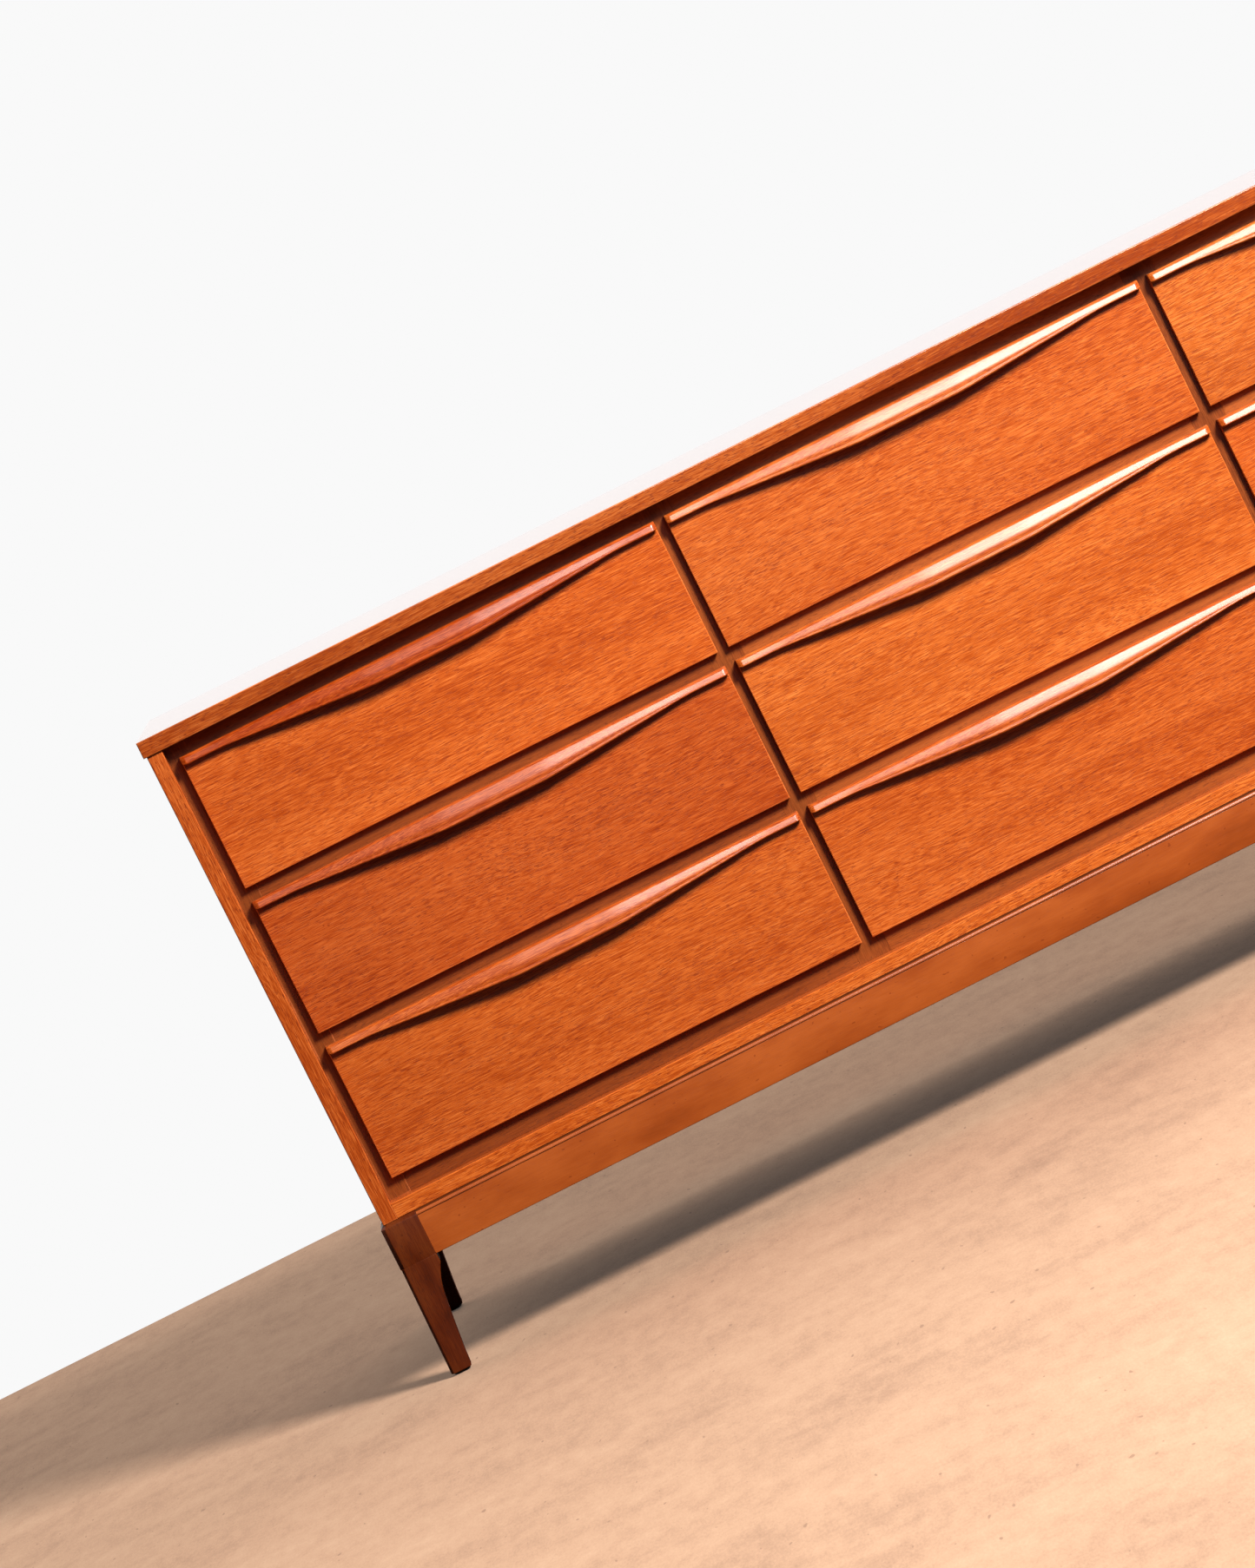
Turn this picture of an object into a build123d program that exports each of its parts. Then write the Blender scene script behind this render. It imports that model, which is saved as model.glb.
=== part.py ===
from build123d import *
import os

# Low nine-drawer dresser: a veneered case with a recessed face frame, three columns of three
# lipped drawers, and a separate base of aprons and tapered legs.
# Millimetres. X runs across the front, the drawers open towards -Y, and Z is up from the floor.
# The origin is on the floor, under the centre of the whole dresser's outline.

# Driving dimensions: case
overall_height = 778.0
top_width = 1829.0
top_depth = 482.0
top_thickness = 19.0
top_overhang = 3.5          # past the case's sides and front
panel = 18.0                # sides, bottom and partitions
back_thickness = 6.0
arris = 0.8                 # small chamfer on exposed board edges

# Driving dimensions: face frame
frame_recess = 24.0         # behind the case's front edges
frame_thickness = 19.0
middle_stile_width = 38.0
columns = 3
rows = 3
column_pitch = 591.0
row_pitch = 178.5
frame_lap = 4.5             # the fronts cover the rails by this much, above and below

# Driving dimensions: drawers
front_width = 578.0
front_heights = (160.5, 162.5, 162.5)     # the top row first
front_thickness = 10.0
front_gap = 1.0             # between a closed front and the face frame
lowest_front_z = 225.0
box_wall = 12.0
box_side_clearance = 4.0
box_length = 405.0
box_side_height = 138.0
box_back_drop = 6.0         # the back stands this much lower than the sides
box_floor_clearance = 1.0   # over the rail that the drawer slides across
bottom_thickness = 5.0
bottom_recess = 12.0        # under the drawer's bottom panel
groove_depth = 5.2
groove_play = 0.1
glue_line = 0.1             # between a drawer box's glued boards

# Driving dimensions: centre guides
guide_width = 24.0
guide_rise = 9.0            # above the rail's top edge
guide_drop = 12.0           # below the rail's top edge
guide_play = 1.0
slide_strip = 10.0          # square strips under the drawer, one each side of the guide

# Driving dimensions: pulls, at their middle and at their ends
pull_projection = 20.0
pull_height = 23.5
pull_end_projection = 9.5
pull_end_height = 10.0
pull_flat_half = 62.0       # half of the straight middle
pull_slope_end = 215.0      # where the straight slope ends, from the middle
pull_slope_share = 0.15     # of the way from the thin end to the full middle, where the slope ends
pull_blend_end = 252.0      # where the thin end begins, from the middle
pull_tip = 4.0              # the last stretch, which tapers
pull_tip_scale = 0.8

# Driving dimensions: base
base_height = 184.0
apron_height = 53.0
apron_thickness = 20.0
apron_setback = 0.5         # behind the legs' outer faces
base_chamfer = 4.5
leg_width = 43.5
foot_width = 23.5
leg_splay = 1.5             # at the foot, its outer side stands out past the block by this much
base_overhang = 1.5         # the base past the ends of the top
leg_step = 0.8              # just below its block, the leg's outer faces stand in by this much
knee_z = 128.0
knee_bottom = (30.0, 76.0)  # width and height where the knee runs into the taper
knee_top_handle = 20.0      # how far the knee's curve leans down from its top
knee_low_handle = (2.0, 24.0)   # and how it comes into the taper from above
leg_corner_chamfer = 3.8
glide_radius = 10.0
glide_height = 3.0
block_reach = 60.0          # corner block, along each apron from the leg
block_height = 40.0
screw_radius = 2.0
screw_head_radius = 4.0
screw_head_height = 2.3
screw_length = 50.0
screw_play = 0.1
screw_offset = 20.0         # from the leg's inner faces, along the apron
screw_inset = 31.5          # from the base's outer faces
pilot_depth = 11.0

# Places worked out from the driving dimensions
# The pulls' middles stand this much ahead of the top's front edge.
nose_lead = pull_projection + front_thickness + front_gap - frame_recess - top_overhang
back_y = (top_depth + nose_lead) / 2
top_front_y = back_y - top_depth
case_front_y = top_front_y + top_overhang
case_half_width = top_width / 2 - top_overhang
inner_half_width = case_half_width - panel
case_top_z = overall_height - top_thickness
inner_back_y = back_y - back_thickness
floor_z = base_height + panel
frame_front_y = case_front_y + frame_recess
frame_back_y = frame_front_y + frame_thickness
front_back_y = frame_front_y - front_gap
front_face_y = front_back_y - front_thickness
opening_width = column_pitch - middle_stile_width
opening_height = front_heights[0] - 2 * frame_lap
column_centres = [(index - (columns - 1) / 2) * column_pitch for index in range(columns)]
row_bottoms = [lowest_front_z + (rows - 1 - index) * row_pitch for index in range(rows)]
opening_bottoms = [bottom + frame_lap for bottom in row_bottoms]
divider_centres = [-column_pitch / 2, column_pitch / 2]
base_half_width = top_width / 2 + base_overhang
screw_reach = leg_width + screw_offset
screw_places = []
for side in (-1, 1):
    for outer_y, inward in ((top_front_y, 1), (back_y, -1)):
        for x_in, y_in in ((screw_reach, screw_inset), (screw_inset, screw_reach)):
            screw_places.append((side * (base_half_width - x_in), outer_y + inward * y_in))

os.makedirs("parts", exist_ok=True)


def save(piece, name):
    """Label a finished sub-part and write its STEP file."""
    piece.part.label = name
    export_step(piece.part, f"parts/{name}.step")


def board(x_range, y_range, z_range):
    """Add a rectangular board to the sub-part being built."""
    with BuildSketch(Plane.XY.offset(z_range[0])) as outline:
        with Locations(((x_range[0] + x_range[1]) / 2, (y_range[0] + y_range[1]) / 2)):
            Rectangle(x_range[1] - x_range[0], y_range[1] - y_range[0])
    extrude(outline.sketch, amount=z_range[1] - z_range[0])


def front_edges(piece):
    """The edges around a board's front face."""
    return piece.faces().sort_by(Axis.Y)[0].edges()


# Case

with BuildPart() as top_panel:
    board((-top_width / 2, top_width / 2), (top_front_y, back_y), (case_top_z, overall_height))
    chamfer(front_edges(top_panel), length=arris)
save(top_panel, "top_panel")

with BuildPart() as bottom_panel:
    board((-inner_half_width, inner_half_width), (case_front_y, inner_back_y), (base_height, floor_z))
    chamfer(front_edges(bottom_panel).filter_by(Axis.X), length=arris)
    for place in screw_places:
        with Locations(Plane(origin=(*place, base_height), z_dir=(0, 0, -1))):
            Hole(radius=screw_radius + screw_play, depth=pilot_depth)
save(bottom_panel, "bottom_panel")

with BuildPart() as back_panel:
    board((-inner_half_width, inner_half_width), (inner_back_y, back_y), (base_height, case_top_z))
save(back_panel, "back_panel")

for name, sign in (("side_left", -1), ("side_right", 1)):
    with BuildPart() as side_panel:
        walls = sorted((sign * inner_half_width, sign * case_half_width))
        board(walls, (case_front_y, back_y), (base_height, case_top_z))
        chamfer(front_edges(side_panel).filter_by(Axis.Z), length=arris)
    save(side_panel, name)

for name, centre in zip(("partition_left", "partition_right"), divider_centres):
    with BuildPart() as partition:
        board((centre - panel / 2, centre + panel / 2), (frame_back_y, inner_back_y), (floor_z, case_top_z))
    save(partition, name)

# Face frame

frame_y = (frame_front_y, frame_back_y)
side_stile_inner = column_centres[-1] + opening_width / 2

for name, sign in (("stile_left", -1), ("stile_right", 1)):
    with BuildPart() as side_stile:
        board(sorted((sign * side_stile_inner, sign * inner_half_width)), frame_y, (floor_z, case_top_z))
    save(side_stile, name)

with BuildPart() as stiles_middle:
    for centre in divider_centres:
        half = middle_stile_width / 2
        board((centre - half, centre + half), frame_y, (floor_z, case_top_z))
save(stiles_middle, "stiles_middle")


def rails(*heights):
    """One rail in each column, between the stiles, at each pair of heights."""
    with BuildPart() as rail_set:
        for z_range in heights:
            for centre in column_centres:
                board((centre - opening_width / 2, centre + opening_width / 2), frame_y, z_range)
    return rail_set


opening_tops = [bottom + opening_height for bottom in opening_bottoms]
save(rails((opening_tops[0], case_top_z)), "rail_top")
save(rails((opening_tops[1], opening_bottoms[0]), (opening_tops[2], opening_bottoms[1])), "rails_middle")
save(rails((floor_z, opening_bottoms[2])), "rail_bottom")

with BuildPart() as drawer_guides:
    for bottom in opening_bottoms:
        for centre in column_centres:
            board(
                (centre - guide_width / 2, centre + guide_width / 2),
                (frame_back_y, inner_back_y),
                (bottom - guide_drop, bottom + guide_rise),
            )
save(drawer_guides, "drawer_guides")

# Base

apron_z = (base_height - apron_height, base_height)
apron_front_y = top_front_y + apron_setback
apron_half_length = base_half_width - leg_width
apron_outer_x = base_half_width - apron_setback
base_back_y = back_y - apron_setback

apron_x = (-apron_half_length, apron_half_length)

with BuildPart() as apron_front:
    board(apron_x, (apron_front_y, apron_front_y + apron_thickness), apron_z)
    chamfer(front_edges(apron_front).filter_by(Axis.X).sort_by(Axis.Z)[-1], length=base_chamfer)
save(apron_front, "apron_front")

with BuildPart() as apron_back:
    board(apron_x, (base_back_y - apron_thickness, base_back_y), apron_z)
save(apron_back, "apron_back")

with BuildPart() as aprons_side:
    for sign in (-1, 1):
        walls = sorted((sign * apron_outer_x, sign * (apron_outer_x - apron_thickness)))
        board(walls, (top_front_y + leg_width, back_y - leg_width), apron_z)
    top_edges = aprons_side.edges().filter_by(Axis.Y).group_by(Axis.Z)[-1].sort_by(Axis.X)
    chamfer([top_edges[0], top_edges[-1]], length=base_chamfer)
save(aprons_side, "aprons_side")


def leg_elevation(plane, foot_outer):
    """The leg's outline from the front or from the side: distance inwards from its block's face, height up."""
    with BuildSketch(plane) as outline:
        with BuildLine():
            outer = Polyline(
                (foot_width, glide_height),
                (foot_outer, glide_height),
                (leg_step, apron_z[0]),
                (0, apron_z[0]),
                (0, base_height - base_chamfer),
                (base_chamfer, base_height),
                (leg_width, base_height),
                (leg_width, knee_z),
            )
            knee = Bezier(
                outer @ 1,
                (leg_width, knee_z - knee_top_handle),
                (knee_bottom[0] + knee_low_handle[0], knee_bottom[1] + knee_low_handle[1]),
                knee_bottom,
            )
            Line(knee @ 1, outer @ 0)
        make_face()
    return outline.sketch


def leg(x_sign, y_sign):
    """A leg for one corner, tapered on its two inner faces."""
    y_corner = top_front_y if y_sign < 0 else back_y
    corner = (x_sign * base_half_width, y_corner, 0)
    with BuildPart() as one_leg:
        front_plane = Plane(origin=corner, x_dir=(-x_sign, 0, 0), z_dir=(0, x_sign, 0))
        extrude(leg_elevation(front_plane, -leg_splay), amount=leg_width, both=True)
        side_plane = Plane(origin=corner, x_dir=(0, -y_sign, 0), z_dir=(-y_sign, 0, 0))
        extrude(leg_elevation(side_plane, leg_step), amount=leg_width, both=True, mode=Mode.INTERSECT)
        plan_plane = Plane(origin=corner, x_dir=(-x_sign, 0, 0), z_dir=(0, 0, x_sign * y_sign))
        with BuildSketch(plan_plane) as plan:
            with BuildLine():
                Polyline(
                    (leg_corner_chamfer, 0),
                    (leg_width, 0),
                    (leg_width, leg_width),
                    (-leg_splay, leg_width),
                    (-leg_splay, leg_corner_chamfer + leg_splay),
                    close=True,
                )
            make_face()
        extrude(plan.sketch, amount=base_height, both=True, mode=Mode.INTERSECT)
    return one_leg


for depth_name, y_sign in (("front", -1), ("back", 1)):
    for side_name, x_sign in (("left", -1), ("right", 1)):
        save(leg(x_sign, y_sign), f"leg_{depth_name}_{side_name}")

foot_inset_x = (foot_width - leg_splay) / 2
foot_inset_y = (foot_width + leg_step) / 2
with BuildPart() as foot_glides:
    with BuildSketch():
        for x_sign in (-1, 1):
            for y_place in (top_front_y + foot_inset_y, back_y - foot_inset_y):
                with Locations((x_sign * (base_half_width - foot_inset_x), y_place)):
                    Circle(glide_radius)
    extrude(amount=glide_height)
save(foot_glides, "foot_glides")


def block_outline(x_sign, y_corner, inward):
    """A corner block around the leg's inner corner, between the two aprons."""
    leg_x = base_half_width - leg_width
    wall_x = apron_outer_x - apron_thickness
    wall_y = apron_setback + apron_thickness
    points = [
        (leg_x, wall_y),
        (leg_x - block_reach, wall_y),
        (wall_x, wall_y + block_reach + wall_x - leg_x),
        (wall_x, leg_width),
        (leg_x, leg_width),
    ]
    with BuildLine() as outline:
        Polyline([(x_sign * x, y_corner + inward * y) for x, y in points], close=True)
    make_face(outline.edges())


block_z = base_height - block_height
with BuildPart() as corner_blocks:
    with BuildSketch(Plane.XY.offset(block_z)):
        for x_sign in (-1, 1):
            block_outline(x_sign, top_front_y, 1)
            block_outline(x_sign, back_y, -1)
    extrude(amount=block_height)
    for place in screw_places:
        with Locations(Plane(origin=(*place, block_z), z_dir=(0, 0, -1))):
            CounterSinkHole(
                radius=screw_radius + screw_play,
                counter_sink_radius=screw_head_radius + 2 * screw_play,
                depth=block_height,
            )
save(corner_blocks, "corner_blocks")

with BuildPart() as base_screws:
    for place in screw_places:
        with BuildSketch(Plane.XZ.offset(-place[1])):
            with BuildLine():
                Polyline(
                    (place[0], block_z),
                    (place[0] + screw_head_radius, block_z),
                    (place[0] + screw_radius, block_z + screw_head_height),
                    (place[0] + screw_radius, block_z + screw_length),
                    (place[0], block_z + screw_length),
                    close=True,
                )
            make_face()
        revolve(axis=Axis((*place, 0), (0, 0, 1)))
save(base_screws, "base_screws")

# Drawers

# Outline of the pull's cross-section, as (out from the front, down from its top), at both extremes.
pull_middle_section = [
    (0, 0),
    (12.5, 0),
    (16.0, 3.0),
    (19.6, 14.0),
    (pull_projection, 19.5),
    (18.8, 23.0),
    (17.6, pull_height),
    (15.5, pull_height),
    (8.0, 13.0),
    (0, 13.0),
]
pull_end_section = [
    (0, 0),
    (5.5, 0),
    (8.0, 2.5),
    (9.3, 6.0),
    (pull_end_projection, 8.0),
    (9.0, 9.6),
    (8.4, pull_end_height),
    (7.0, pull_end_height),
    (3.5, 9.0),
    (0, 9.0),
]


def pull_section(centre, offset, top_z, fullness, scale):
    """The pull's cross-section at one place along its length."""
    plane = Plane(origin=(centre + offset, front_face_y, top_z), x_dir=(0, -1, 0), z_dir=(1, 0, 0))
    points = []
    for (end_out, end_down), (mid_out, mid_down) in zip(pull_end_section, pull_middle_section):
        out = end_out + (mid_out - end_out) * fullness
        down = end_down + (mid_down - end_down) * fullness
        points.append((out * scale, down * scale))
    with BuildSketch(plane) as section:
        with BuildLine():
            Polyline(points, close=True)
        make_face()
    return section.sketch


# Distance from the pull's middle, share of the full middle's section, and scale.
pull_stations = [
    (front_width / 2, 0, pull_tip_scale),
    (front_width / 2 - pull_tip, 0, 1),
    (pull_blend_end, 0, 1),
    (pull_slope_end, pull_slope_share, 1),
    (pull_flat_half, 1, 1),
]


def drawer_pull(centre, top_z):
    """The full-length lip pull: thin ends that swell to a deep middle with a finger cove."""
    left_half = [pull_section(centre, -offset, top_z, *shape) for offset, *shape in pull_stations]
    right_half = [pull_section(centre, offset, top_z, *shape) for offset, *shape in pull_stations]
    with BuildPart() as pull:
        loft(left_half + right_half[::-1], ruled=True)
    return pull


def drawer_box(centre, bottom):
    """The drawer's sides, inner front, back and the two strips that straddle the guide."""
    half = opening_width / 2 - box_side_clearance
    inner_half = half - box_wall
    low = bottom + box_floor_clearance
    panel_z = low + bottom_recess
    end_y = front_back_y + box_length
    with BuildPart() as box:
        for sign in (-1, 1):
            walls = sorted((centre + sign * half, centre + sign * inner_half))
            board(walls, (front_back_y, end_y), (low, low + box_side_height))
        with BuildSketch(Plane.XZ.offset(-front_back_y - box_wall)) as groove:
            with Locations((centre, panel_z + bottom_thickness / 2)):
                Rectangle(2 * (inner_half + groove_depth), bottom_thickness + 2 * groove_play)
        extrude(groove.sketch, amount=-box_length, mode=Mode.SUBTRACT)
        between = (centre - inner_half + glue_line, centre + inner_half - glue_line)
        board(between, (front_back_y, front_back_y + box_wall), (low, low + box_side_height))
        board(between, (end_y - box_wall, end_y),
              (panel_z + bottom_thickness + groove_play, low + box_side_height - box_back_drop))
        for sign in (-1, 1):
            near = guide_width / 2 + guide_play
            strip = sorted((centre + sign * near, centre + sign * (near + slide_strip)))
            board(strip, (front_back_y + box_wall + glue_line, end_y), (panel_z - slide_strip, panel_z))
    return box


def drawer_bottom(centre, bottom):
    """The thin bottom panel, held in the sides' grooves."""
    half = opening_width / 2 - box_side_clearance - box_wall + groove_depth - 2 * groove_play
    panel_z = bottom + box_floor_clearance + bottom_recess
    with BuildPart() as floor_board:
        board((centre - half, centre + half), (front_back_y + box_wall, front_back_y + box_length),
              (panel_z, panel_z + bottom_thickness))
    return floor_board


def drawer_front(centre, front_z, height):
    """The veneered front board, with its face edges eased."""
    with BuildPart() as front:
        board((centre - front_width / 2, centre + front_width / 2), (front_face_y, front_back_y),
              (front_z, front_z + height))
        chamfer(front_edges(front).sort_by(Axis.Z)[:-1], length=arris)
    return front


for row, (front_z, opening_z, height) in enumerate(zip(row_bottoms, opening_bottoms, front_heights), start=1):
    for column, centre in enumerate(column_centres, start=1):
        place = f"r{row}c{column}"
        save(drawer_front(centre, front_z, height), f"drawer_front_{place}")
        save(drawer_pull(centre, front_z + height), f"drawer_pull_{place}")
        save(drawer_box(centre, opening_z), f"drawer_box_{place}")
        save(drawer_bottom(centre, opening_z), f"drawer_bottom_{place}")
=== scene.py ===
import math
import random

import bmesh
import bpy
from mathutils import Matrix, Vector


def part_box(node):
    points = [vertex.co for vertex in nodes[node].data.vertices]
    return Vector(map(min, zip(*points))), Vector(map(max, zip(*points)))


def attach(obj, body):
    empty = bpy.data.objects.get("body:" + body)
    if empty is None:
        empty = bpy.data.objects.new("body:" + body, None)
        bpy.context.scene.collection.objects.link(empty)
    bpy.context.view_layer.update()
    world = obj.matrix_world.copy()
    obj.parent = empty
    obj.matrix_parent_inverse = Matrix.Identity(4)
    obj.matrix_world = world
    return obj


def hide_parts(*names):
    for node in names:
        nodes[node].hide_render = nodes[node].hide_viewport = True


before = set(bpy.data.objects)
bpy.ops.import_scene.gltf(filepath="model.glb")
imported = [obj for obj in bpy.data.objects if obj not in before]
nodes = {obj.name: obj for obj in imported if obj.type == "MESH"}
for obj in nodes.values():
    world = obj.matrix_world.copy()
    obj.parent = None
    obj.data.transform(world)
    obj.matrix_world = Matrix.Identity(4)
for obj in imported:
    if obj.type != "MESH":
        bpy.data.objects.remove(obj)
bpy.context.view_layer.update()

# The nine-drawer low dresser: lacquered walnut outside, pale plain wood inside.
# Metres. X runs across the front, the drawers open towards -Y, and Z is up from the floor.
# The CAD boards stay and get eased edges and woods. The pulls, legs, front and side aprons and glides are
# replaced by finer shaped pieces.

MM = 0.001
ROWS = (1, 2, 3)
COLUMNS = (1, 2, 3)
PLACES = [f"r{row}c{column}" for row in ROWS for column in COLUMNS]


# Camera

CAMERA_PLACE = (-0.559, -6.849, 1.014)
CAMERA_YAW = math.radians(0.899)        # to the right of +Y
CAMERA_PITCH = math.radians(4.457)      # below the horizon
CAMERA_ROLL = math.radians(26.512)      # clockwise, so the dresser climbs to the right
CAMERA_LENS = 139.3


def add_camera():
    """The camera in front of the dresser, rolled to the right."""
    data = bpy.data.cameras.new("camera")
    data.lens = CAMERA_LENS
    forward = Vector((math.sin(CAMERA_YAW), math.cos(CAMERA_YAW), -math.tan(CAMERA_PITCH))).normalized()
    level_right = Vector((math.cos(CAMERA_YAW), -math.sin(CAMERA_YAW), 0))
    level_up = level_right.cross(forward)
    right = level_right * math.cos(CAMERA_ROLL) - level_up * math.sin(CAMERA_ROLL)
    up = level_right * math.sin(CAMERA_ROLL) + level_up * math.cos(CAMERA_ROLL)
    turned = Matrix((right, up, -forward)).transposed().to_4x4()
    camera = bpy.data.objects.new("camera", data)
    camera.matrix_world = Matrix.Translation(CAMERA_PLACE) @ turned
    bpy.context.scene.collection.objects.link(camera)
    bpy.context.scene.camera = camera


# Materials


class Shader:
    """A material being made, with a short call for each kind of node that it needs."""

    def __init__(self, name):
        self.material = bpy.data.materials.new(name)
        self.material.use_nodes = True
        self.tree = self.material.node_tree
        self.tree.nodes.clear()
        self.surface = self.node("ShaderNodeBsdfPrincipled")
        self.output = self.node("ShaderNodeOutputMaterial")
        self.tree.links.new(self.surface.outputs[0], self.output.inputs["Surface"])

    def node(self, kind, **settings):
        """A new node with its own settings made."""
        made = self.tree.nodes.new(kind)
        for key, value in settings.items():
            setattr(made, key, value)
        return made

    def feed(self, socket, value):
        """Link another node's output to the socket, or set it to a plain value."""
        if isinstance(value, bpy.types.NodeSocket):
            self.tree.links.new(value, socket)
        else:
            socket.default_value = value

    def fed(self, kind, values, **settings):
        """The first output of a new node whose inputs are fed in order."""
        made = self.node(kind, **settings)
        for socket, value in zip(made.inputs, values):
            self.feed(socket, value)
        return made.outputs[0]

    def math(self, operation, *values):
        return self.fed("ShaderNodeMath", values, operation=operation)

    def vector(self, operation, *values):
        return self.fed("ShaderNodeVectorMath", values, operation=operation)

    def join(self, *values):
        return self.fed("ShaderNodeCombineXYZ", values)

    def split(self, vector):
        made = self.node("ShaderNodeSeparateXYZ")
        self.feed(made.inputs[0], vector)
        return list(made.outputs)

    def place(self):
        """The point in the row frame, which moves with the piece."""
        return self.node("ShaderNodeTexCoord").outputs["Object"]

    def noise(self, place, fineness, detail=2.0, roughness=0.5):
        """Noise around 0.5. fineness is how many times it changes in a metre along each axis."""
        made = self.node("ShaderNodeTexNoise")
        self.feed(made.inputs["Vector"], self.vector("MULTIPLY", place, fineness))
        made.inputs["Scale"].default_value = 1.0
        made.inputs["Detail"].default_value = detail
        made.inputs["Roughness"].default_value = roughness
        return made.outputs["Fac"]

    def vary(self, value, noise, amount):
        """The value, raised where the noise is over 0.5 and lowered where it is under."""
        return self.math("MULTIPLY_ADD", self.math("SUBTRACT", noise, 0.5), amount, value)

    def between(self, value, low, high):
        """0 where value is at low, 1 where it is at high, smoothly."""
        made = self.node("ShaderNodeMapRange", interpolation_type="SMOOTHSTEP")
        self.feed(made.inputs["Value"], value)
        self.feed(made.inputs["From Min"], low)
        self.feed(made.inputs["From Max"], high)
        return made.outputs["Result"]

    def ramp(self, factor, stops):
        """The colour at factor along (position, colour) stops."""
        made = self.node("ShaderNodeValToRGB")
        self.feed(made.inputs["Fac"], factor)
        elements = made.color_ramp.elements
        while len(elements) < len(stops):
            elements.new(0.5)
        for element, (position, colour) in zip(elements, stops):
            element.position = position
            element.color = (*colour, 1)
        return made.outputs["Color"]

    def mix(self, factor, first, second, blend="MIX"):
        """The first colour, blended with the second as far as factor says."""
        made = self.node("ShaderNodeMix", data_type="RGBA", blend_type=blend)
        self.feed(made.inputs[0], factor)
        for socket, value in ((made.inputs[6], first), (made.inputs[7], second)):
            self.feed(socket, value if isinstance(value, bpy.types.NodeSocket) else (*value, 1))
        return made.outputs[2]

    def choose(self, factor, first, second):
        """A vector that is first where factor is 0 and second where it is 1."""
        made = self.node("ShaderNodeMix", data_type="VECTOR")
        self.feed(made.inputs[0], factor)
        self.feed(made.inputs[4], first)
        self.feed(made.inputs[5], second)
        return made.outputs[1]

    def bump(self, height, distance):
        """Relief on the surface, distance deep."""
        made = self.node("ShaderNodeBump")
        made.inputs["Strength"].default_value = 1.0
        made.inputs["Distance"].default_value = distance
        self.feed(made.inputs["Height"], height)
        self.feed(self.surface.inputs["Normal"], made.outputs["Normal"])

    def set(self, **values):
        """Set or feed the surface's own sockets, named with _ for a space."""
        for key, value in values.items():
            self.feed(self.surface.inputs[key.replace("_", " ")], value)


# Woods

# Grain axis of a piece: the order in which X, Y and Z become along, across and through.
GRAIN = {"X": (0, 1, 2), "Y": (1, 0, 2), "Z": (2, 0, 1)}
SEED_REACH = 20             # each wood starts its noise at a random point, up to this far out
CELL_SHIFT = (3.71, 5.37, 7.93)     # between the grain of one board and the next in the same node

# How fine each feature of the grain is, along, across and through it.
FINENESS = {
    "sway": (2.2, 7.0, 7.0),
    "ripple": (28.0, 60.0, 60.0),
    "bands": (1.1, 13.0, 13.0),
    "rings": (0.8, 6.5, 6.5),
    "streaks": (11.0, 260.0, 260.0),
    "hairs": (42.0, 1400.0, 1400.0),
    "pores": (130.0, 1700.0, 1700.0),
    "pore_zones": (3.5, 30.0, 30.0),
    "blotches": (9.0, 22.0, 22.0),
    "specks": (190.0, 330.0, 330.0),
    "wear_and_highlight": (14.0, 14.0, 14.0),
}
SWAY_REACH = (0.0, 30 * MM, 30 * MM)        # how far the grain lines wander to the side
RIPPLE_REACH = (0.0, 1.2 * MM, 1.2 * MM)

# How far a feature of strength 1 goes from the darkest streak, 0, to the palest, 1.
GAINS = {"bands": 1.5, "rings": -0.45, "streaks": 0.9, "hairs": 1.5, "blotches": 1.6}
COLOUR_STOPS = (0.0, 0.32, 0.55, 0.95)

PORE_START = 0.74           # noise over which a pore starts, where pores are fewest
PORE_ZONE_SPAN = -0.26      # how much sooner it starts where they are most
PORE_BLUR = 0.12
SPECK_START = 0.81
SPECK_FULL = 0.85
SPECK_STRENGTH = 0.5
GRAIN_ROUGHNESS = 0.12      # added by the streaks and by the pores
STREAK_HEIGHT = 0.8         # beside a pore's depth of 1

# Pale patches along box-shaped boards' edges: partly real wear of the finish, partly a painted highlight where
# the arrises catch the light.
WORN_AND_HIGHLIGHT_EDGE = 1.6 * MM        # how far in from an edge the wear and the painted highlight reach
WEAR_AND_HIGHLIGHT_WANDER = 2.2 * MM      # how unevenly they do so
WEAR_AND_HIGHLIGHT_LEAST = 0.25           # wear and painted highlight along the whole edge
WEAR_AND_HIGHLIGHT_MORE = 0.45            # wear and painted highlight that its patches add
WEAR_ROUGHNESS = 0.2
WORN_AND_HIGHLIGHT_GAIN = 1.35            # worn wood with its painted highlight, beside the palest streak
WORN_AND_HIGHLIGHT_LIFT = 0.02
# Shade painted along the dark seam and quirk at the apron's top, where they fall into shadow.
GROOVE_SHADE_COLOUR = (0.035, 0.008, 0.002)
GROOVE_SHADE_STRENGTH = 0.85
GROOVE_SHADE_FADE = 0.7 * MM
GROOVE_SHADE_WANDER = 0.6 * MM

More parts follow.
